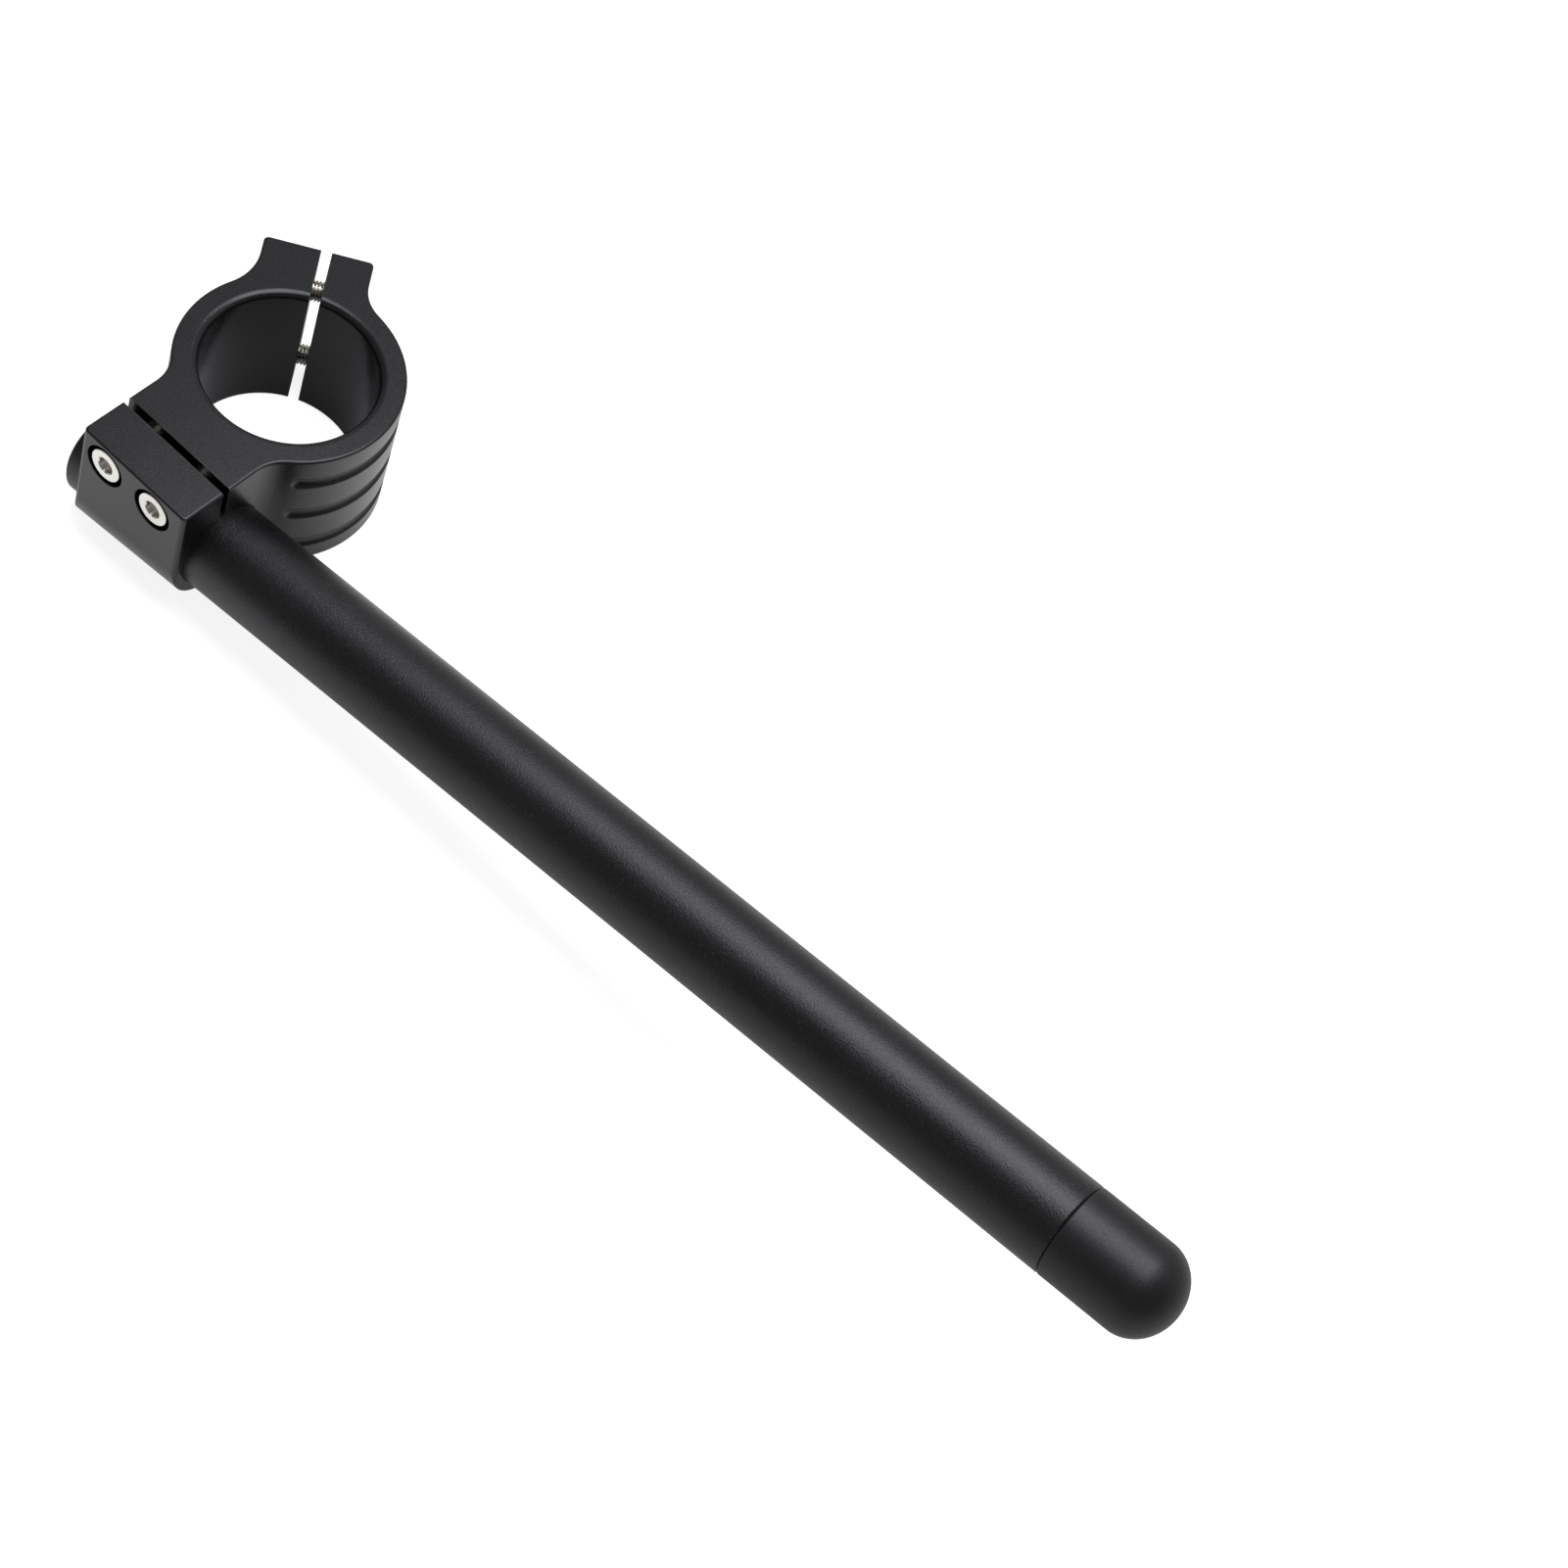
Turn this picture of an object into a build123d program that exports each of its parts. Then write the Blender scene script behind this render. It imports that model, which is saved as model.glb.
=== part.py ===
"""Clip-on handlebar: a split clamp for a fork tube, with a straight bar gripped in a pinch block on its side.

The origin is on the fork tube's axis, at the middle of the clamp's height. +Z is along the fork tube.
The bar lies on the -Y side and rises a little towards its free end, which is on the +X side.
All sizes are in millimetres.
"""
from build123d import *
import os
from math import atan2, cos, degrees, radians, sin, sqrt, tan

# Fork clamp: the ring that closes on the fork tube.
fork_bore_radius = 20.5
ring_wall = 6.1
ring_height = 38.0
bore_lip_round = 1.7
bore_chamfer = 0.6
edge_round = 0.6

# Socket head screws, all alike: a 5 mm thread and an 8.5 mm head.
screw_radius = 2.5
screw_length = 16.0
screw_head_radius = 4.25
screw_head_height = 5.0
screw_head_round = 0.3
screw_tip_chamfer = 0.6
hex_across_flats = 4.0
hex_depth = 2.5
thread_clearance = 0.05
shank_clearance = 0.3
head_clearance = 1.15
tapped_hole_spare = 0.8

# Ears beside the ring's split: a thin one that takes the screw heads, and a thick one that is tapped.
ear_direction = 124.6
fork_slit_width = 2.5
fork_slit_offset = 1.75
fork_screw_end_margin = 7.0
bore_to_fork_screw = 5.8
ear_end_land = 1.2
head_ear_floor = 4.55
fork_head_sink = 0.4
tapped_ear_end_wall = 3.55
head_ear_fillet = 10.0
tapped_ear_fillet = 14.0
corner_round = 1.2

# Handlebar tube and the plug in its free end.
bar_radius = 11.1
bar_wall = 3.0
bar_rise_angle = 7.4
grip_length = 245.5
tube_stub = 5.9
tube_edge_break = 0.5
plug_straight = 18.0
plug_dome_height = 9.9
plug_spigot_length = 15.0
plug_spigot_clearance = 0.05
plug_lead_chamfer = 1.0
joint_line_chamfer = 0.35

# Pinch block on the side of the ring, bored for the bar and slit above it.
web_between_bores = 2.4
bar_clearance = 0.05
block_wall = 2.65
block_inboard = 15.7
block_outboard = 16.1
block_fillet = 10.0
ring_cutter_step = 0.3
bar_slit_width = 2.0
bar_slit_offset = 1.1
bar_screw_spacing = 14.9
bar_screw_shift = -0.75
bar_screw_top_land = 0.8
bar_to_screw_cover = 2.2
bar_head_sink = 0.1

# Grooves round the ring's outer wall, cut with a ball cutter between the block and the thin ear.
groove_count = 3
groove_spacing_share = 0.305
groove_drop = 0.6
groove_cutter_radius = 2.5
groove_depth = 1.0
groove_margin_angle = 7.0

# Places and sizes that follow from the ones above.
half_height = ring_height / 2
ring_radius = fork_bore_radius + ring_wall
head_hole_radius = screw_head_radius + head_clearance
shank_hole_radius = screw_radius + shank_clearance
tapped_hole_radius = screw_radius + thread_clearance

# Distances along the ears' direction, and across it towards the tapped ear.
fork_screw_spacing = ring_height - 2 * fork_screw_end_margin
fork_screw_reach = fork_bore_radius + bore_to_fork_screw + screw_radius
ear_end = fork_screw_reach + head_hole_radius + ear_end_land
fork_slit_place = -fork_slit_offset
fork_head_seat = fork_slit_place - fork_slit_width / 2 - head_ear_floor
fork_head_hole_depth = screw_head_height + fork_head_sink
head_ear_flank = fork_head_seat - fork_head_hole_depth
fork_tapped_hole_end = fork_head_seat + screw_length + tapped_hole_spare
tapped_ear_flank = fork_tapped_hole_end + tapped_ear_end_wall

# The bar hangs below its two screws, which hang below the clamp's top face.
rise = radians(bar_rise_angle)
bar_screw_places = (bar_screw_shift - bar_screw_spacing / 2, bar_screw_shift + bar_screw_spacing / 2)
bar_screw_height = half_height - bar_screw_top_land - head_hole_radius
bar_offset = fork_bore_radius + web_between_bores + bar_radius
bar_top_at_screw = bar_screw_height - screw_radius - bar_to_screw_cover
bar_axis_height = bar_top_at_screw - bar_radius / cos(rise) - bar_screw_places[1] * tan(rise)
block_radius = bar_radius + block_wall
block_face = bar_offset + block_radius
bar_slit_place = -bar_offset - bar_slit_offset
bar_head_hole_depth = screw_head_height + bar_head_sink
bar_head_seat = bar_head_hole_depth - block_face
bar_tapped_hole_depth = bar_head_hole_depth + screw_length + tapped_hole_spare

# Distances along the bar from the point beside the fork tube's axis.
tube_start = -block_inboard / cos(rise) - tube_stub
tube_end = block_outboard / cos(rise) + grip_length
tube_bore_radius = bar_radius - bar_wall
plug_spigot_radius = tube_bore_radius - plug_spigot_clearance

# Directions and planes.
# The bar's plane has its Z along the bar, and the ears' plane has its X along the ears.
bar_along = Vector(cos(rise), 0, sin(rise))
bar_plane = Plane(origin=(0, -bar_offset, bar_axis_height), x_dir=(0, 1, 0), z_dir=bar_along)
plug_plane = Plane(origin=bar_plane.origin + bar_along * tube_end, x_dir=bar_along, z_dir=(0, -1, 0))
ear_along = Vector(1, 0, 0).rotate(Axis.Z, ear_direction)
ear_across = Vector(0, 1, 0).rotate(Axis.Z, ear_direction)
ear_plane = Plane(origin=(0, 0, -half_height), x_dir=ear_along, z_dir=(0, 0, 1))


def fillet_reach(flank, fillet_radius):
    """Distance along a straight flank beside the ring at which its fillet to the ring starts."""
    return sqrt((ring_radius + fillet_radius) ** 2 - (flank + fillet_radius) ** 2)


def fillet_angle(flank, fillet_radius):
    """Angle about the ring, from the flank's own direction, at which that fillet meets the ring."""
    return degrees(atan2(flank + fillet_radius, fillet_reach(flank, fillet_radius)))


def ring_reach(flank):
    """Distance along a straight flank at which it meets the bare ring."""
    return sqrt(ring_radius**2 - flank**2)


block_direction = -90
groove_start = block_direction + fillet_angle(block_outboard, block_fillet) + groove_margin_angle
groove_end = ear_direction - fillet_angle(-head_ear_flank, head_ear_fillet) - groove_margin_angle
groove_path_radius = ring_radius + groove_cutter_radius - groove_depth
groove_spacing = groove_spacing_share * ring_height
groove_steps = [step - (groove_count - 1) / 2 for step in range(groove_count)]
groove_heights = [step * groove_spacing - groove_drop for step in groove_steps]

# What is milled away under the pinch block: all that lies outside a round about the bar.
# The cutter stays a small step clear of the ring's wall.
with BuildPart() as under_bar_trim:
    with BuildSketch(bar_plane):
        with BuildLine():
            CenterArc((0, 0), block_radius, 180, 90)
            Polyline(
                (0, -block_radius),
                (bar_offset, -block_radius),
                (bar_offset, -ring_height),
                (-block_face, -ring_height),
                (-block_face, 0),
                (-block_radius, 0),
            )
        make_face()
    extrude(amount=block_face, both=True)
    Cylinder(ring_radius + ring_cutter_step, 2 * block_face + ring_height, mode=Mode.SUBTRACT)

# The ball cutter's way round the ring, once for each groove.
with BuildPart() as groove_cuts:
    groove_out = Vector(1, 0, 0).rotate(Axis.Z, groove_start)
    groove_back = Vector(0, -1, 0).rotate(Axis.Z, groove_start)
    groove_plane = Plane(origin=(0, 0, 0), x_dir=groove_out, z_dir=groove_back)
    with BuildSketch(groove_plane):
        with Locations([(groove_path_radius, height) for height in groove_heights]):
            Circle(groove_cutter_radius)
    revolve(axis=Axis.Z, revolution_arc=groove_end - groove_start)
    for angle in (groove_start, groove_end):
        groove_tip = Vector(groove_path_radius, 0, 0).rotate(Axis.Z, angle)
        with Locations([groove_tip + Vector(0, 0, height) for height in groove_heights]):
            Sphere(groove_cutter_radius)

# Clamp body: ring, ears and pinch block in one, then bored, slit, drilled and grooved.
with BuildPart() as fork_clamp:
    with BuildSketch(Plane.XY.offset(-half_height)) as outline:
        Circle(ring_radius)
        ear_middle = ear_along * (ear_end / 2) + ear_across * ((tapped_ear_flank + head_ear_flank) / 2)
        with Locations(ear_middle):
            Rectangle(ear_end, tapped_ear_flank - head_ear_flank, rotation=ear_direction)
        with Locations(((block_outboard - block_inboard) / 2, -block_face / 2)):
            Rectangle(block_inboard + block_outboard, block_face)
        head_ear_corner = ear_along * ear_end + ear_across * head_ear_flank
        tapped_ear_corner = ear_along * ear_end + ear_across * tapped_ear_flank
        inboard_corner = Vector(-block_inboard, -block_face)
        outboard_corner = Vector(block_outboard, -block_face)
        for corner in (head_ear_corner, tapped_ear_corner, inboard_corner, outboard_corner):
            fillet(outline.vertices().sort_by_distance(corner)[0], corner_round)
        head_ear_root = ear_along * ring_reach(head_ear_flank) + ear_across * head_ear_flank
        tapped_ear_root = ear_along * ring_reach(tapped_ear_flank) + ear_across * tapped_ear_flank
        inboard_root = Vector(-block_inboard, -ring_reach(block_inboard))
        outboard_root = Vector(block_outboard, -ring_reach(block_outboard))
        fillet(outline.vertices().sort_by_distance(head_ear_root)[0], head_ear_fillet)
        fillet(outline.vertices().sort_by_distance(tapped_ear_root)[0], tapped_ear_fillet)
        fillet(outline.vertices().sort_by_distance(inboard_root)[0], block_fillet)
        fillet(outline.vertices().sort_by_distance(outboard_root)[0], block_fillet)
    extrude(amount=ring_height)
    end_faces = fork_clamp.faces().filter_by(Axis.Z)
    fillet(end_faces.edges(), edge_round)
    add(under_bar_trim.part, mode=Mode.SUBTRACT)
    add(groove_cuts.part, mode=Mode.SUBTRACT)
    with BuildSketch(Plane.XZ):
        with BuildLine():
            lip_middle = (fork_bore_radius + bore_lip_round, half_height - bore_lip_round)
            CenterArc(lip_middle, bore_lip_round, 90, 90)
            Polyline(
                (fork_bore_radius, half_height - bore_lip_round),
                (fork_bore_radius, bore_chamfer - half_height),
                (fork_bore_radius + bore_chamfer, -half_height),
                (0, -half_height),
                (0, half_height),
                (fork_bore_radius + bore_lip_round, half_height),
            )
        make_face()
    revolve(axis=Axis.Z, mode=Mode.SUBTRACT)
    with BuildSketch(bar_plane):
        Circle(bar_radius + bar_clearance)
    extrude(amount=block_face, both=True, mode=Mode.SUBTRACT)
    with BuildSketch(Plane.XY.offset(bar_axis_height)):
        with Locations((0, bar_slit_place)):
            Rectangle(2 * block_face, bar_slit_width)
    extrude(amount=ring_height, mode=Mode.SUBTRACT)
    with BuildSketch(ear_plane):
        with Locations((0, fork_slit_place)):
            Rectangle(2 * ear_end, fork_slit_width, align=(Align.MIN, Align.CENTER))
    extrude(amount=ring_height, mode=Mode.SUBTRACT)
    bar_screw_face = Plane(origin=(0, -block_face, bar_screw_height), x_dir=(1, 0, 0), z_dir=(0, -1, 0))
    with Locations(bar_screw_face):
        with Locations([(place, 0) for place in bar_screw_places]):
            CounterBoreHole(
                shank_hole_radius, head_hole_radius, bar_head_hole_depth, block_face + bar_slit_place
            )
            Hole(tapped_hole_radius, bar_tapped_hole_depth)
    fork_screw_face = Plane(
        origin=ear_along * fork_screw_reach + ear_across * head_ear_flank, x_dir=ear_along, z_dir=-ear_across
    )
    with Locations(fork_screw_face):
        with GridLocations(0, fork_screw_spacing, 1, 2):
            CounterBoreHole(
                shank_hole_radius, head_hole_radius, fork_head_hole_depth, fork_slit_place - head_ear_flank
            )
            Hole(tapped_hole_radius, fork_tapped_hole_end - head_ear_flank)

# Handlebar tube, with its outer edges broken so that the plug's joint shows as a fine line.
with BuildPart() as handlebar_tube:
    with BuildSketch(bar_plane.offset(tube_start)):
        Circle(bar_radius)
        Circle(tube_bore_radius, mode=Mode.SUBTRACT)
    extrude(amount=tube_end - tube_start)
    end_edges = handlebar_tube.edges().filter_by(GeomType.CIRCLE).sort_by(Axis(bar_plane.origin, bar_along))
    inboard_rim = end_edges[:2].sort_by(SortBy.RADIUS)[-1]
    free_rim = end_edges[-2:].sort_by(SortBy.RADIUS)[-1]
    chamfer(inboard_rim, tube_edge_break)
    chamfer(free_rim, joint_line_chamfer)

# Plug: a turned nose, flush with the tube, on a spigot that fills the tube's bore.
with BuildPart() as bar_end_plug:
    with BuildSketch(plug_plane):
        with BuildLine():
            Polyline(
                (plug_straight + plug_dome_height, 0),
                (-plug_spigot_length, 0),
                (-plug_spigot_length, plug_spigot_radius - plug_lead_chamfer),
                (plug_lead_chamfer - plug_spigot_length, plug_spigot_radius),
                (0, plug_spigot_radius),
                (0, bar_radius - joint_line_chamfer),
                (joint_line_chamfer, bar_radius),
                (plug_straight, bar_radius),
            )
            EllipticalCenterArc((plug_straight, 0), plug_dome_height, bar_radius, arc_size=90)
        make_face()
    revolve(axis=Axis(plug_plane.origin, bar_along))

# Screws, each placed by the plane of its head's seat, which faces out of the clamp.
fork_seat = ear_along * fork_screw_reach + ear_across * fork_head_seat
screw_seats = {
    "fork_pinch_screw_upper": Plane(
        origin=fork_seat + Vector(0, 0, fork_screw_spacing / 2), x_dir=ear_along, z_dir=-ear_across
    ),
    "fork_pinch_screw_lower": Plane(
        origin=fork_seat - Vector(0, 0, fork_screw_spacing / 2), x_dir=ear_along, z_dir=-ear_across
    ),
    "bar_pinch_screw_inboard": Plane(
        origin=(bar_screw_places[0], bar_head_seat, bar_screw_height), x_dir=(1, 0, 0), z_dir=(0, -1, 0)
    ),
    "bar_pinch_screw_outboard": Plane(
        origin=(bar_screw_places[1], bar_head_seat, bar_screw_height), x_dir=(1, 0, 0), z_dir=(0, -1, 0)
    ),
}
pieces = {"fork_clamp": fork_clamp, "handlebar_tube": handlebar_tube, "bar_end_plug": bar_end_plug}
for name, seat in screw_seats.items():
    with BuildPart(seat) as pinch_screw:
        Cylinder(screw_head_radius, screw_head_height, align=(Align.CENTER, Align.CENTER, Align.MIN))
        Cylinder(screw_radius, screw_length, align=(Align.CENTER, Align.CENTER, Align.MAX))
        ends = pinch_screw.faces().filter_by(GeomType.PLANE).sort_by(Axis(seat.origin, seat.z_dir))
        fillet(ends[-1].edges(), screw_head_round)
        chamfer(ends[0].edges(), screw_tip_chamfer)
        with BuildSketch(seat.offset(screw_head_height)):
            RegularPolygon(hex_across_flats / 2, 6, major_radius=False)
        extrude(amount=-hex_depth, mode=Mode.SUBTRACT)
    pieces[name] = pinch_screw

os.makedirs("parts", exist_ok=True)
for name, piece in pieces.items():
    piece.part.label = name
    export_step(piece.part, f"parts/{name}.step")
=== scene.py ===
import math

import bpy
import numpy as np
from mathutils import Matrix, Vector


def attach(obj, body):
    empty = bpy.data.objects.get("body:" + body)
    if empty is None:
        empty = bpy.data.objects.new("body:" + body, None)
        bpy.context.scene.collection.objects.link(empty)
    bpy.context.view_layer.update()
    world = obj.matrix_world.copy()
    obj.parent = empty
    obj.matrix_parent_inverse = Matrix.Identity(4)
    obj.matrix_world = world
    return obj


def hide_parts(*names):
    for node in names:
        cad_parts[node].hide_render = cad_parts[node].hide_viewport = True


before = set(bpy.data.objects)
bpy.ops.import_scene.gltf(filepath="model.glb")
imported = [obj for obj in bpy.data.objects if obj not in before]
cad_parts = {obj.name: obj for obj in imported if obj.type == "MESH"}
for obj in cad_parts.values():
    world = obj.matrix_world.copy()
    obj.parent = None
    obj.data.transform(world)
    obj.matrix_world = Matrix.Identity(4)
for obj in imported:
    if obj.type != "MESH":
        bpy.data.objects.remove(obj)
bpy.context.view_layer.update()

# Fork clamp: ring, ears and pinch block milled from one block of aluminium, blasted and anodised black.
# Its edges are painted paler, partly as wear and partly as a painted highlight along the edges. It holds the
# fork tube and the bar.


def add_node(tree, kind, inputs=None, **settings):
    """Adds a node. Inputs are given by name or number, each as a plain value or as a socket to link."""
    made = tree.nodes.new(kind)
    for name, value in settings.items():
        setattr(made, name, value)
    for key, value in (inputs or {}).items():
        if isinstance(value, bpy.types.NodeSocket):
            tree.links.new(value, made.inputs[key])
        else:
            made.inputs[key].default_value = value
    return made


def ramp(tree, value, low, high, to_low=0.0, to_high=1.0):
    """A value mapped straight from one range to another, held at its ends."""
    mapped = add_node(tree, "ShaderNodeMapRange", {
        "Value": value, "From Min": low, "From Max": high, "To Min": to_low, "To Max": to_high,
    })
    return mapped.outputs["Result"]


def blend_colour(tree, share, first, second):
    """The first colour where the share is 0 and the second where it is 1."""
    mixed = add_node(tree, "ShaderNodeMix", {0: share, 6: first, 7: second}, data_type="RGBA")
    return mixed.outputs[2]


def new_group(name, inputs, outputs):
    """An empty node group with float or vector sockets, and its input and output nodes."""
    tree = bpy.data.node_groups.new(name, "ShaderNodeTree")
    for label, kind in inputs:
        tree.interface.new_socket(label, in_out="INPUT", socket_type=kind)
    for label, kind in outputs:
        tree.interface.new_socket(label, in_out="OUTPUT", socket_type=kind)
    return tree, tree.nodes.new("NodeGroupInput"), tree.nodes.new("NodeGroupOutput")


# Blasted skin: pits of a fine size, slow cloudy patches left by the dye bath, and a few bright specks that
# are painted glints.
clouds_per_metre = 55.0
dull_cell_share = 0.90
skin, skin_in, skin_out = new_group(
    "blasted_skin",
    [("Vector", "NodeSocketVector"), ("Pits per metre", "NodeSocketFloat")],
    [("Pits", "NodeSocketFloat"), ("Clouds", "NodeSocketFloat"), ("Specks", "NodeSocketFloat")],
)
pits = add_node(skin, "ShaderNodeTexNoise", {
    "Vector": skin_in.outputs["Vector"], "Scale": skin_in.outputs["Pits per metre"],
    "Detail": 3.0, "Roughness": 0.6,
})
clouds = add_node(skin, "ShaderNodeTexNoise", {
    "Vector": skin_in.outputs["Vector"], "Scale": clouds_per_metre, "Detail": 4.0, "Roughness": 0.55,
})
cells = add_node(skin, "ShaderNodeTexVoronoi", {
    "Vector": skin_in.outputs["Vector"], "Scale": skin_in.outputs["Pits per metre"],
})
cell_shade = add_node(skin, "ShaderNodeSeparateColor", {"Color": cells.outputs["Color"]})
skin.links.new(pits.outputs["Fac"], skin_out.inputs["Pits"])
skin.links.new(clouds.outputs["Fac"], skin_out.inputs["Clouds"])
skin.links.new(ramp(skin, cell_shade.outputs["Red"], dull_cell_share, 1.0), skin_out.inputs["Specks"])

# Worn edge: how far a rounded copy of the surface turns away from the surface itself, broken up by noise. The
# mask paints edges paler, partly as wear and partly as a painted highlight.
chips_per_metre = 420.0
flat_cosine, edge_cosine = 0.995, 0.92
chip_range = (0.35, 0.65)
least_edge_share = 0.25
edge, edge_in, edge_out = new_group(
    "worn_and_painted_highlight_edge",
    [("Vector", "NodeSocketVector"), ("Radius", "NodeSocketFloat")],
    [("Mask", "NodeSocketFloat"), ("Normal", "NodeSocketVector")],
)
rounded = add_node(edge, "ShaderNodeBevel", {"Radius": edge_in.outputs["Radius"]}, samples=6)
surface = add_node(edge, "ShaderNodeNewGeometry")
alike = add_node(edge, "ShaderNodeVectorMath", {
    0: rounded.outputs["Normal"], 1: surface.outputs["True Normal"],
}, operation="DOT_PRODUCT")
chips = add_node(edge, "ShaderNodeTexNoise", {
    "Vector": edge_in.outputs["Vector"], "Scale": chips_per_metre, "Detail": 4.0, "Roughness": 0.6,
})
broken = add_node(edge, "ShaderNodeMath", {
    0: ramp(edge, alike.outputs["Value"], flat_cosine, edge_cosine),
    1: ramp(edge, chips.outputs["Fac"], *chip_range, least_edge_share),
}, operation="MULTIPLY")
edge.links.new(broken.outputs["Value"], edge_out.inputs["Mask"])
edge.links.new(rounded.outputs["Normal"], edge_out.inputs["Normal"])

edge_radius = 0.00035
# The pale colour of edges and specks: bare metal where worn, and a painted highlight and painted glints.
pale_wear_and_glint = (0.16, 0.16, 0.165, 1.0)
cloud_range = (0.35, 0.65)
cloud_gain = 1.6
pit_range = (0.3, 0.7)
dye_index = 1.5
dye_tint = (0.93, 0.93, 1.0, 1.0)


def anodised(name, black, pits_per_metre, pit_depth, gloss_range, glint_speck_share, edge_wear_and_highlight_share, tool_marks):
    """Black anodised aluminium: blasted skin with painted glint specks, edges painted paler as wear and as a
    painted highlight, and the marks of the tool that made it.

    tool_marks takes the node tree and its object coordinates, and returns a height in metres.
    """
    material = bpy.data.materials.new(name)
    material.use_nodes = True
    tree = material.node_tree
    shader = tree.nodes["Principled BSDF"]
    place = add_node(tree, "ShaderNodeTexCoord").outputs["Object"]
    grain = add_node(tree, "ShaderNodeGroup", node_tree=skin)
    grain.inputs["Pits per metre"].default_value = pits_per_metre
    tree.links.new(place, grain.inputs["Vector"])
    edge_marks = add_node(tree, "ShaderNodeGroup", node_tree=edge)
    edge_marks.inputs["Radius"].default_value = edge_radius
    tree.links.new(place, edge_marks.inputs["Vector"])
    paler = tuple(cloud_gain * channel for channel in black)
    cloud_share = ramp(tree, grain.outputs["Clouds"], *cloud_range)
    cloudy = blend_colour(tree, cloud_share, (*black, 1.0), (*paler, 1.0))
    # Painted glints: bright specks mixed into the colour.
    painted_glint_mask = ramp(tree, grain.outputs["Specks"], 0.0, 1.0, 0.0, glint_speck_share)
    with_painted_glints = blend_colour(tree, painted_glint_mask, cloudy, pale_wear_and_glint)
    edge_wear_and_highlight_mask = ramp(tree, edge_marks.outputs["Mask"], 0.0, 1.0, 0.0, edge_wear_and_highlight_share)
    with_edge_wear_and_highlight = blend_colour(tree, edge_wear_and_highlight_mask, with_painted_glints, pale_wear_and_glint)
    tree.links.new(with_edge_wear_and_highlight, shader.inputs["Base Color"])
    tree.links.new(ramp(tree, grain.outputs["Pits"], *pit_range, *gloss_range), shader.inputs["Roughness"])
    pitted = add_node(tree, "ShaderNodeBump", {
        "Height": grain.outputs["Pits"], "Distance": pit_depth, "Strength": 1.0,
        "Normal": edge_marks.outputs["Normal"],
    })
    cut = add_node(tree, "ShaderNodeBump", {
        "Height": tool_marks(tree, place), "Distance": 1.0, "Strength": 1.0,
        "Normal": pitted.outputs["Normal"],
    })
    tree.links.new(cut.outputs["Normal"], shader.inputs["Normal"])
    shader.inputs["IOR"].default_value = dye_index
    shader.inputs["Specular Tint"].default_value = dye_tint
    return material


def dress(node, material):
    """Gives a piece of the frame a better material in place of its plain one."""
    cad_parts[node].material_slots[0].material = material


ring_mark_height = 0.0000012


def milled_rings(tree, place):
    """Fine rings about the fork tube's axis, from a fly cutter and a boring bar: a wave along the radius."""
    waves = add_node(tree, "ShaderNodeTexWave", {
        "Vector": place, "Scale": 560.0, "Distortion": 1.2, "Detail": 2.0, "Detail Scale": 1.5,
    }, wave_type="RINGS", rings_direction="Z")
    return ramp(tree, waves.outputs["Fac"], 0.0, 1.0, 0.0, ring_mark_height)


clamp_black = anodised(
    "clamp_anodised", black=(0.0040, 0.0040, 0.0046), pits_per_metre=3200.0, pit_depth=0.000024,
    gloss_range=(0.20, 0.30), glint_speck_share=0.03, edge_wear_and_highlight_share=0.7, tool_marks=milled_rings,
)

# The bore is painted in shade: a near-black metallic colour stands in for the shade inside the ring, and a
# smoother finish makes it mirror more sharply than the blasted outside.
bore_radius = 0.0205
shaded_bore_within, blasted_from = bore_radius + 0.0001, bore_radius + 0.0003
bore_painted_shade = (0.024, 0.0235, 0.024, 1.0)
bore_roughness = 0.13
bore_shade_metal_share = 0.6
clamp_tree = clamp_black.node_tree
clamp_shader = clamp_tree.nodes["Principled BSDF"]
clamp_place = add_node(clamp_tree, "ShaderNodeTexCoord").outputs["Object"]
in_plan = add_node(clamp_tree, "ShaderNodeVectorMath", {
    0: clamp_place, 1: (1.0, 1.0, 0.0),
}, operation="MULTIPLY")
from_axis = add_node(clamp_tree, "ShaderNodeVectorMath", {0: in_plan.outputs["Vector"]}, operation="LENGTH")
smooth_shaded_bore = ramp(clamp_tree, from_axis.outputs["Value"], blasted_from, shaded_bore_within)
outside_colour = clamp_shader.inputs["Base Color"].links[0].from_socket
outside_gloss = clamp_shader.inputs["Roughness"].links[0].from_socket
# Painted shade: the bore's near-black colour and metal share darken what it mirrors.
bore_shade_colour = blend_colour(clamp_tree, smooth_shaded_bore, outside_colour, bore_painted_shade)
bore_gloss = add_node(clamp_tree, "ShaderNodeMix", {
    0: smooth_shaded_bore, 2: outside_gloss, 3: bore_roughness,
}, data_type="FLOAT")
bore_shade_metal = ramp(clamp_tree, smooth_shaded_bore, 0.0, 1.0, 0.0, bore_shade_metal_share)
clamp_tree.links.new(bore_shade_colour, clamp_shader.inputs["Base Color"])
clamp_tree.links.new(bore_gloss.outputs[0], clamp_shader.inputs["Roughness"])
clamp_tree.links.new(bore_shade_metal, clamp_shader.inputs["Metallic"])
dress("fork_clamp", clamp_black)

# Handlebar tube: drawn aluminium tube of 22.2 mm, blasted all over and anodised black.
# It is pinched in the clamp's block, and its blasted skin glitters along the highlight, helped by bright
# specks painted into its colour as glints.
drawn_line_height = 0.000002
drawn_line_range = (0.3, 0.7)
drawn_line_squeeze = (0.02, 1.0, 1.0)


def drawn_lines(tree, place):
    """Faint lines along the tube, from the drawing die: noise stretched along the bar's plan direction."""
    along = add_node(tree, "ShaderNodeMapping", {"Vector": place, "Scale": drawn_line_squeeze})
    lines = add_node(tree, "ShaderNodeTexNoise", {
        "Vector": along.outputs["Vector"], "Scale": 900.0, "Detail": 2.0,
    })
    return ramp(tree, lines.outputs["Fac"], *drawn_line_range, 0.0, drawn_line_height)


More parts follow.
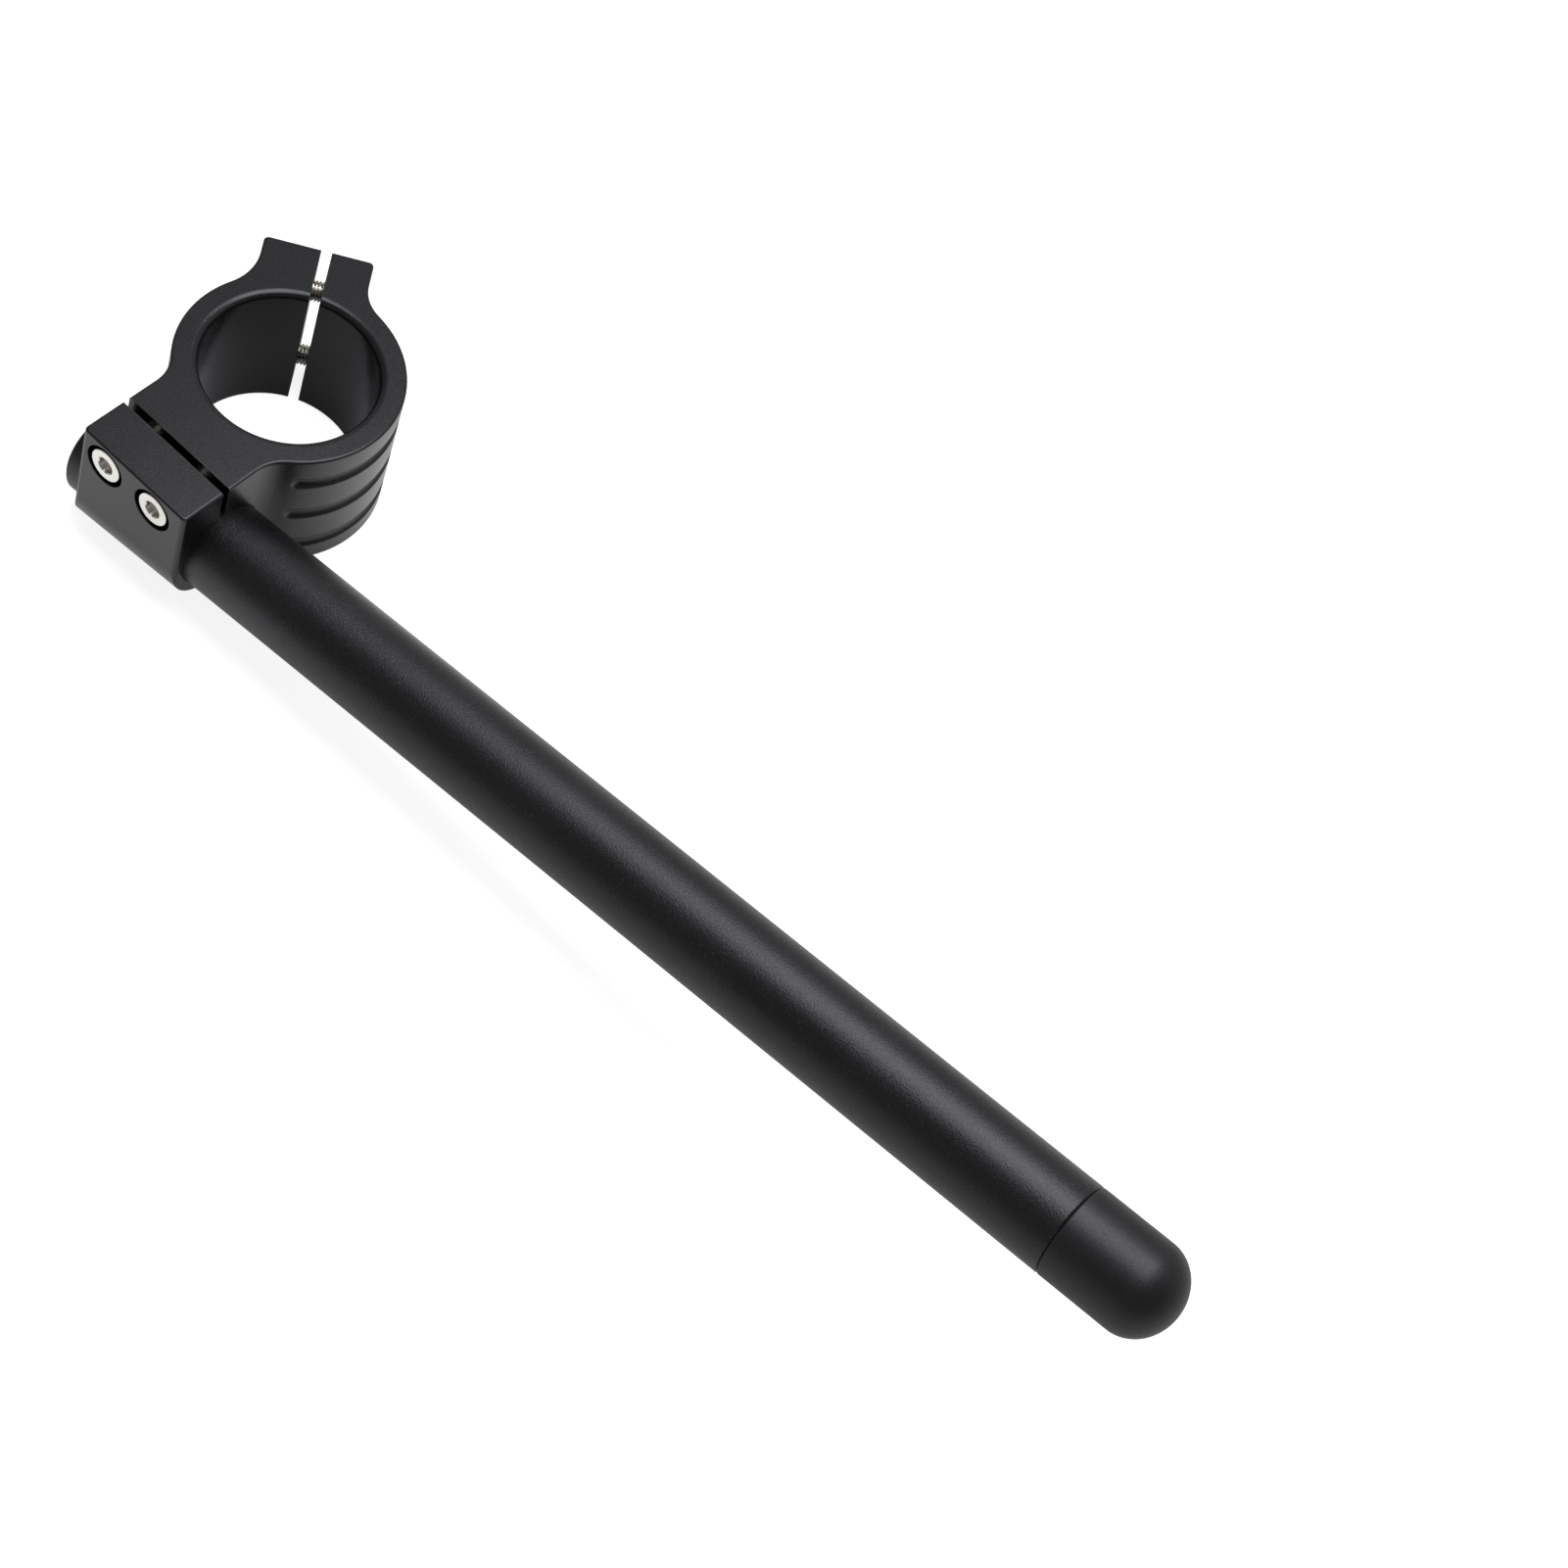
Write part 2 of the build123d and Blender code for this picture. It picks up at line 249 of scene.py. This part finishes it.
tube_black = anodised(
    "bar_anodised", black=(0.0040, 0.0040, 0.0045), pits_per_metre=2600.0, pit_depth=0.00009,
    gloss_range=(0.25, 0.40), glint_speck_share=0.08, edge_wear_and_highlight_share=0.1, tool_marks=drawn_lines,
)
dress("handlebar_tube", tube_black)

# Bar end plug: a turned aluminium nose, anodised black like the tube but with finer pits and a duller sheen.
# Its spigot sits in the tube's bore, so only a fine joint line shows.
turned_line_height = 0.000001


def turned_lines(tree, place):
    """Fine bands square to the bar, as a lathe tool leaves them: a wave along the bar's plan direction."""
    waves = add_node(tree, "ShaderNodeTexWave", {
        "Vector": place, "Scale": 900.0, "Distortion": 0.6, "Detail": 2.0,
    }, wave_type="BANDS", bands_direction="X")
    return ramp(tree, waves.outputs["Fac"], 0.0, 1.0, 0.0, turned_line_height)


plug_black = anodised(
    "plug_anodised", black=(0.0042, 0.0042, 0.0048), pits_per_metre=3000.0, pit_depth=0.00004,
    gloss_range=(0.37, 0.50), glint_speck_share=0.04, edge_wear_and_highlight_share=0.1, tool_marks=turned_lines,
)
dress("bar_end_plug", plug_black)

# Pinch screws: four socket head cap screws, M5 by 16, zinc plated steel with a knurled head.
# Two close the ring on the fork tube and two close the block on the bar. The thread's roots and the socket
# are coloured darker and browner.
thread_radius = 0.0025
thread_pitch = 0.0008
thread_depth = 0.00040
thread_length = 0.016
root_level, flank_slope = 1.15, 2.9
tip_chamfer = 0.0006
head_radius = 0.00425
head_height = 0.0050
head_round = 0.0003
round_steps = 6
bearing_share = 0.92
knurl_lead = 0.0003
knurl_margin = 0.0006
knurl_depth = 0.00012
socket_flats = 0.0040
socket_depth = 0.0025
socket_chamfer = 0.0003
socket_rim = 0.0002
rim_drop = 0.00002
socket_corner = 0.0002
floor_share = 0.96
drill_share = 0.8
drill_lead_share = 0.2
socket_cone = 0.0010
mouth_darkening, wall_darkening, floor_darkening = 0.2, 0.5, 0.6
columns = 96
rows_a_turn = 10


def screw_surface(seat, out, aside):
    """A closed screw as one grid: the angle runs round it, and a profile runs along it.

    The profile starts at the middle of the tip and ends at the middle of the socket's floor.
    The shank's radius falls by the thread's depth times a flat-topped wave of its height less its angle,
    both in turns. The head's radius falls on every other column for the knurl. The socket's radius is a
    hexagon's at that angle. seat is the middle of the head's bearing face, out points out of the head
    and aside sets the direction of a flat.
    """
    angle = np.arange(columns) * 2 * math.pi / columns
    turn = angle / (2 * math.pi)
    hexagon = socket_flats / 2 / np.cos((angle + math.pi / 6) % (math.pi / 3) - math.pi / 6)
    ring = np.ones(columns)
    clean = np.zeros(columns)
    teeth = np.where(np.arange(columns) % 2 == 0, 1.0, 0.0)
    heights = np.linspace(-thread_length, 0.0, int(thread_length / thread_pitch * rows_a_turn) + 1)
    lift = heights[:, None]
    phase = (lift / thread_pitch - turn[None, :]) % 1.0
    groove = np.clip(root_level - flank_slope * np.abs(phase - 0.5), 0.0, 1.0)
    end_room = np.clip((lift + thread_length) / tip_chamfer, 0.0, 1.0)
    head_room = np.clip(-lift / thread_pitch, 0.0, 1.0)
    cut = groove * head_room
    crest = thread_radius - tip_chamfer * (1.0 - end_room)
    shank = np.minimum(crest, thread_radius - thread_depth * cut)
    knurled = head_radius - knurl_depth * teeth
    knurl_top = head_height - head_round - knurl_margin
    round_foot = head_height - head_round
    inner_radius = head_radius - head_round
    rim = np.maximum(hexagon, socket_flats / 2 + socket_chamfer)
    floor = head_height - socket_depth
    drill_lead = floor - drill_lead_share * socket_cone
    rows = [(heights[0], 0.0 * ring, clean)]
    rows += list(zip(heights, shank, cut))
    rows += [
        (0.0, bearing_share * head_radius * ring, clean),
        (knurl_lead, head_radius * ring, clean),
        (knurl_margin, knurled, teeth),
        (knurl_top, knurled, teeth),
        (knurl_top + knurl_lead, head_radius * ring, clean),
    ]
    rows += [
        (round_foot + head_round * math.sin(lean), (inner_radius + head_round * math.cos(lean)) * ring, clean)
        for lean in np.linspace(0.0, math.pi / 2, round_steps)
    ]
    rows += [
        (head_height, rim + socket_rim, clean),
        (head_height - rim_drop, rim, clean),
        (head_height - socket_chamfer, hexagon, mouth_darkening * ring),
        (floor + socket_corner, hexagon, wall_darkening * ring),
        (floor, floor_share * hexagon, floor_darkening * ring),
        (drill_lead, drill_share * socket_flats / 2 * ring, floor_darkening * ring),
        (floor - socket_cone, 0.0 * ring, floor_darkening * ring),
    ]
    height = np.array([row[0] for row in rows])[:, None] * ring[None, :]
    radius = np.array([row[1] for row in rows])
    grime = np.array([row[2] for row in rows])
    out, aside = np.array(out, float), np.array(aside, float)
    across = np.cross(out, aside)
    points = (
        np.array(seat, float)
        + (radius * np.cos(angle))[..., None] * aside
        + (radius * np.sin(angle))[..., None] * across
        + height[..., None] * out
    )
    return points, grime


sharp_angle = math.radians(32)


def closed_grid(name, points, values, label):
    """A mesh from a grid of points, closed round its columns, with single points for its two end rows.

    values has one number a point and is kept as a point attribute named label.
    """
    count, around = points.shape[:2]
    body = points[1:-1].reshape(-1, 3)
    corners = np.vstack([body, points[0, 0], points[-1, 0]])
    here = np.arange((count - 3) * around).reshape(count - 3, around)
    beside = np.roll(here, -1, axis=1)
    quads = np.stack([here, beside, beside + around, here + around], axis=-1).reshape(-1, 4)
    first, last = len(body), len(body) + 1
    low, high = np.arange(around), np.arange(around) + (count - 3) * around
    caps = np.vstack([
        np.stack([np.roll(low, -1), low, np.full(around, first)], axis=-1),
        np.stack([high, np.roll(high, -1), np.full(around, last)], axis=-1),
    ])
    mesh = bpy.data.meshes.new(name)
    mesh.from_pydata(corners, [], quads.tolist() + caps.tolist())
    kept = mesh.attributes.new(label, "FLOAT", "POINT")
    kept.data.foreach_set("value", np.concatenate([values[1:-1].ravel(), [values[0, 0], values[-1, 0]]]))
    mesh.polygons.foreach_set("use_smooth", np.ones(len(mesh.polygons), bool))
    mesh.set_sharp_from_angle(angle=sharp_angle)
    piece = bpy.data.objects.new(name, mesh)
    bpy.context.scene.collection.objects.link(piece)
    return piece


zinc_pits_per_metre = 5200.0
zinc_pit_depth = 0.000012
zinc_cloud_range = (0.3, 0.7)
zinc_gloss_range = (0.20, 0.34)
zinc_bright = (0.90, 0.88, 0.83, 1.0)
zinc_dull = (0.80, 0.78, 0.74, 1.0)
dark_brown = (0.30, 0.24, 0.17, 1.0)
darkening_share = 0.5
plated = bpy.data.materials.new("screw_zinc_plate")
plated.use_nodes = True
plated_tree = plated.node_tree
plated_shader = plated_tree.nodes["Principled BSDF"]
plated_place = add_node(plated_tree, "ShaderNodeTexCoord").outputs["Object"]
plated_skin = add_node(plated_tree, "ShaderNodeGroup", node_tree=skin)
plated_skin.inputs["Pits per metre"].default_value = zinc_pits_per_metre
plated_tree.links.new(plated_place, plated_skin.inputs["Vector"])
# Darker and browner in the thread's roots and down the socket, following a point attribute.
darkening_mask = add_node(plated_tree, "ShaderNodeAttribute", attribute_name="grime").outputs["Fac"]
dull_share = ramp(plated_tree, plated_skin.outputs["Clouds"], *zinc_cloud_range)
bright = blend_colour(plated_tree, dull_share, zinc_bright, zinc_dull)
darkened_zinc = blend_colour(plated_tree, ramp(plated_tree, darkening_mask, 0.0, 1.0, 0.0, darkening_share), bright, dark_brown)
plated_gloss = ramp(plated_tree, plated_skin.outputs["Pits"], *pit_range, *zinc_gloss_range)
plated_tree.links.new(darkened_zinc, plated_shader.inputs["Base Color"])
plated_tree.links.new(plated_gloss, plated_shader.inputs["Roughness"])
plated_bump = add_node(plated_tree, "ShaderNodeBump", {
    "Height": plated_skin.outputs["Pits"], "Distance": zinc_pit_depth, "Strength": 1.0,
})
plated_tree.links.new(plated_bump.outputs["Normal"], plated_shader.inputs["Normal"])
plated_shader.inputs["Metallic"].default_value = 1.0

ear_turn = math.radians(124.6)
ear_along = np.array([math.cos(ear_turn), math.sin(ear_turn), 0.0])
ear_across = np.array([-math.sin(ear_turn), math.cos(ear_turn), 0.0])
fork_reach, fork_seat_depth, fork_half_spacing = 0.0288, 0.00755, 0.0120
fork_middle = fork_reach * ear_along - fork_seat_depth * ear_across
bar_seat, bar_screw_height = -0.04265, 0.0128
bar_inboard, bar_outboard = -0.0082, 0.0067
bar_out, bar_aside = (0.0, -1.0, 0.0), (1.0, 0.0, 0.0)
screw_seats = {
    "fork_pinch_screw_upper": (fork_middle + (0.0, 0.0, fork_half_spacing), -ear_across, ear_along),
    "fork_pinch_screw_lower": (fork_middle - (0.0, 0.0, fork_half_spacing), -ear_across, ear_along),
    "bar_pinch_screw_inboard": ((bar_inboard, bar_seat, bar_screw_height), bar_out, bar_aside),
    "bar_pinch_screw_outboard": ((bar_outboard, bar_seat, bar_screw_height), bar_out, bar_aside),
}
for node, seat in screw_seats.items():
    screw = closed_grid(node + "_threaded", *screw_surface(*seat), "grime")
    screw.data.materials.append(plated)
    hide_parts(node)
    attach(screw, "root")

# Studio: a white table under the ring, plain to the camera, a wide soft light overhead and a room brighter at
# the back.
# The side that the camera is on stays dim, so the bar has a dark band beside its highlight.
table_height = -0.0191
table_reach = 3.0
table_mesh = bpy.data.meshes.new("table")
table_mesh.from_pydata([
    (-table_reach, -table_reach, table_height), (table_reach, -table_reach, table_height),
    (table_reach, table_reach, table_height), (-table_reach, table_reach, table_height),
], [], [(0, 1, 2, 3)])
table = bpy.data.objects.new("table", table_mesh)
bpy.context.scene.collection.objects.link(table)
paper_white = (0.50, 0.50, 0.50, 1.0)
paper_seen_glow = 0.85
paper_mirrored_glow = 0.25
white = bpy.data.materials.new("table_white")
white.use_nodes = True
white_tree = white.node_tree
white_shader = white_tree.nodes["Principled BSDF"]
white_shader.inputs["Base Color"].default_value = paper_white
white_shader.inputs["Roughness"].default_value = 0.9
white_shader.inputs["Specular IOR Level"].default_value = 0.0
rays = add_node(white_tree, "ShaderNodeLightPath")
table_place = add_node(white_tree, "ShaderNodeTexCoord").outputs["Object"]


def table_sum(operation, first, second):
    """Two values of the table's material put together by one operation."""
    made = add_node(white_tree, "ShaderNodeMath", {0: first, 1: second}, operation=operation)
    return made.outputs["Value"]


def painted_patch(middle, inner, outer, strength):
    """A round patch painted on the table's mirrored glow: full strength within the inner distance, none past
    the outer one.
    """
    away = add_node(white_tree, "ShaderNodeVectorMath", {
        0: table_place, 1: (*middle, table_height),
    }, operation="DISTANCE")
    return ramp(white_tree, away.outputs["Value"], inner, outer, strength, 0.0)


# Seen only in reflections: pools of light painted before the block and beside the ring, and painted shade
# under the ring.
painted_pool_before_block = painted_patch((-0.01, -0.085), inner=0.03, outer=0.06, strength=0.3)
painted_pool_beside_ring = painted_patch((0.05, 0.015), inner=0.015, outer=0.04, strength=0.42)
painted_shade_under_ring = painted_patch((0.0, 0.0), inner=bore_radius, outer=0.03, strength=0.75)
mirrored_paper_and_pools = table_sum("ADD", table_sum("ADD", painted_pool_before_block, painted_pool_beside_ring), paper_mirrored_glow)
painted_mirror_glow = table_sum("MULTIPLY", mirrored_paper_and_pools, table_sum("SUBTRACT", 1.0, painted_shade_under_ring))
mirrored = table_sum("MAXIMUM", rays.outputs["Is Glossy Ray"], rays.outputs["Is Transmission Ray"])
seen_glow = ramp(white_tree, rays.outputs["Is Camera Ray"], 0.0, 1.0, 0.0, paper_seen_glow)
glow = table_sum("ADD", seen_glow, table_sum("MULTIPLY", mirrored, painted_mirror_glow))
white_shader.inputs["Emission Color"].default_value = (1.0, 1.0, 1.0, 1.0)
white_tree.links.new(glow, white_shader.inputs["Emission Strength"])
table_mesh.materials.append(white)

softbox_place = Vector((0.10, 0.085, 0.56))
softbox_target = Vector((0.10, 0.085, 0.0))
softbox_lamp = bpy.data.lights.new("overhead_softbox", "AREA")
softbox_lamp.shape = "RECTANGLE"
softbox_lamp.size, softbox_lamp.size_y = 0.54, 0.44
softbox_lamp.energy = 3.1
softbox = bpy.data.objects.new("overhead_softbox", softbox_lamp)
softbox.location = softbox_place
softbox.rotation_euler = (softbox_target - softbox_place).to_track_quat("-Z", "Y").to_euler()
bpy.context.scene.collection.objects.link(softbox)

room_front, room_back = 0.2, 0.48
front_ends, back_starts = 0.0, 0.5
studio = bpy.data.worlds.new("studio")
bpy.context.scene.world = studio
studio.use_nodes = True
studio_tree = studio.node_tree
backdrop = studio_tree.nodes["Background"]
backdrop.inputs["Color"].default_value = (1.0, 1.0, 1.0, 1.0)
paths = add_node(studio_tree, "ShaderNodeLightPath")
towards = add_node(studio_tree, "ShaderNodeSeparateXYZ", {
    "Vector": add_node(studio_tree, "ShaderNodeTexCoord").outputs["Generated"],
})
room = ramp(studio_tree, towards.outputs["Y"], front_ends, back_starts, room_front, room_back)
seen_white = add_node(studio_tree, "ShaderNodeMath", {
    0: room, 1: paths.outputs["Is Camera Ray"],
}, operation="MAXIMUM")
studio_tree.links.new(seen_white.outputs["Value"], backdrop.inputs["Strength"])

camera_data = bpy.data.cameras.new("camera")
camera_data.sensor_width = 36.0
camera_data.lens = 83.946
camera = bpy.data.objects.new("camera", camera_data)
camera_place = Vector((0.302602, -0.416999, 0.674149))
camera_target = Vector((0.107243, 0.115160, -0.149648))
camera_roll = math.radians(25.448)
facing = (camera_target - camera_place).to_track_quat("-Z", "Y").to_matrix().to_4x4()
camera.matrix_world = Matrix.Translation(camera_place) @ facing @ Matrix.Rotation(camera_roll, 4, "Z")
bpy.context.scene.collection.objects.link(camera)
bpy.context.scene.camera = camera
bpy.context.scene.view_settings.view_transform = "Standard"
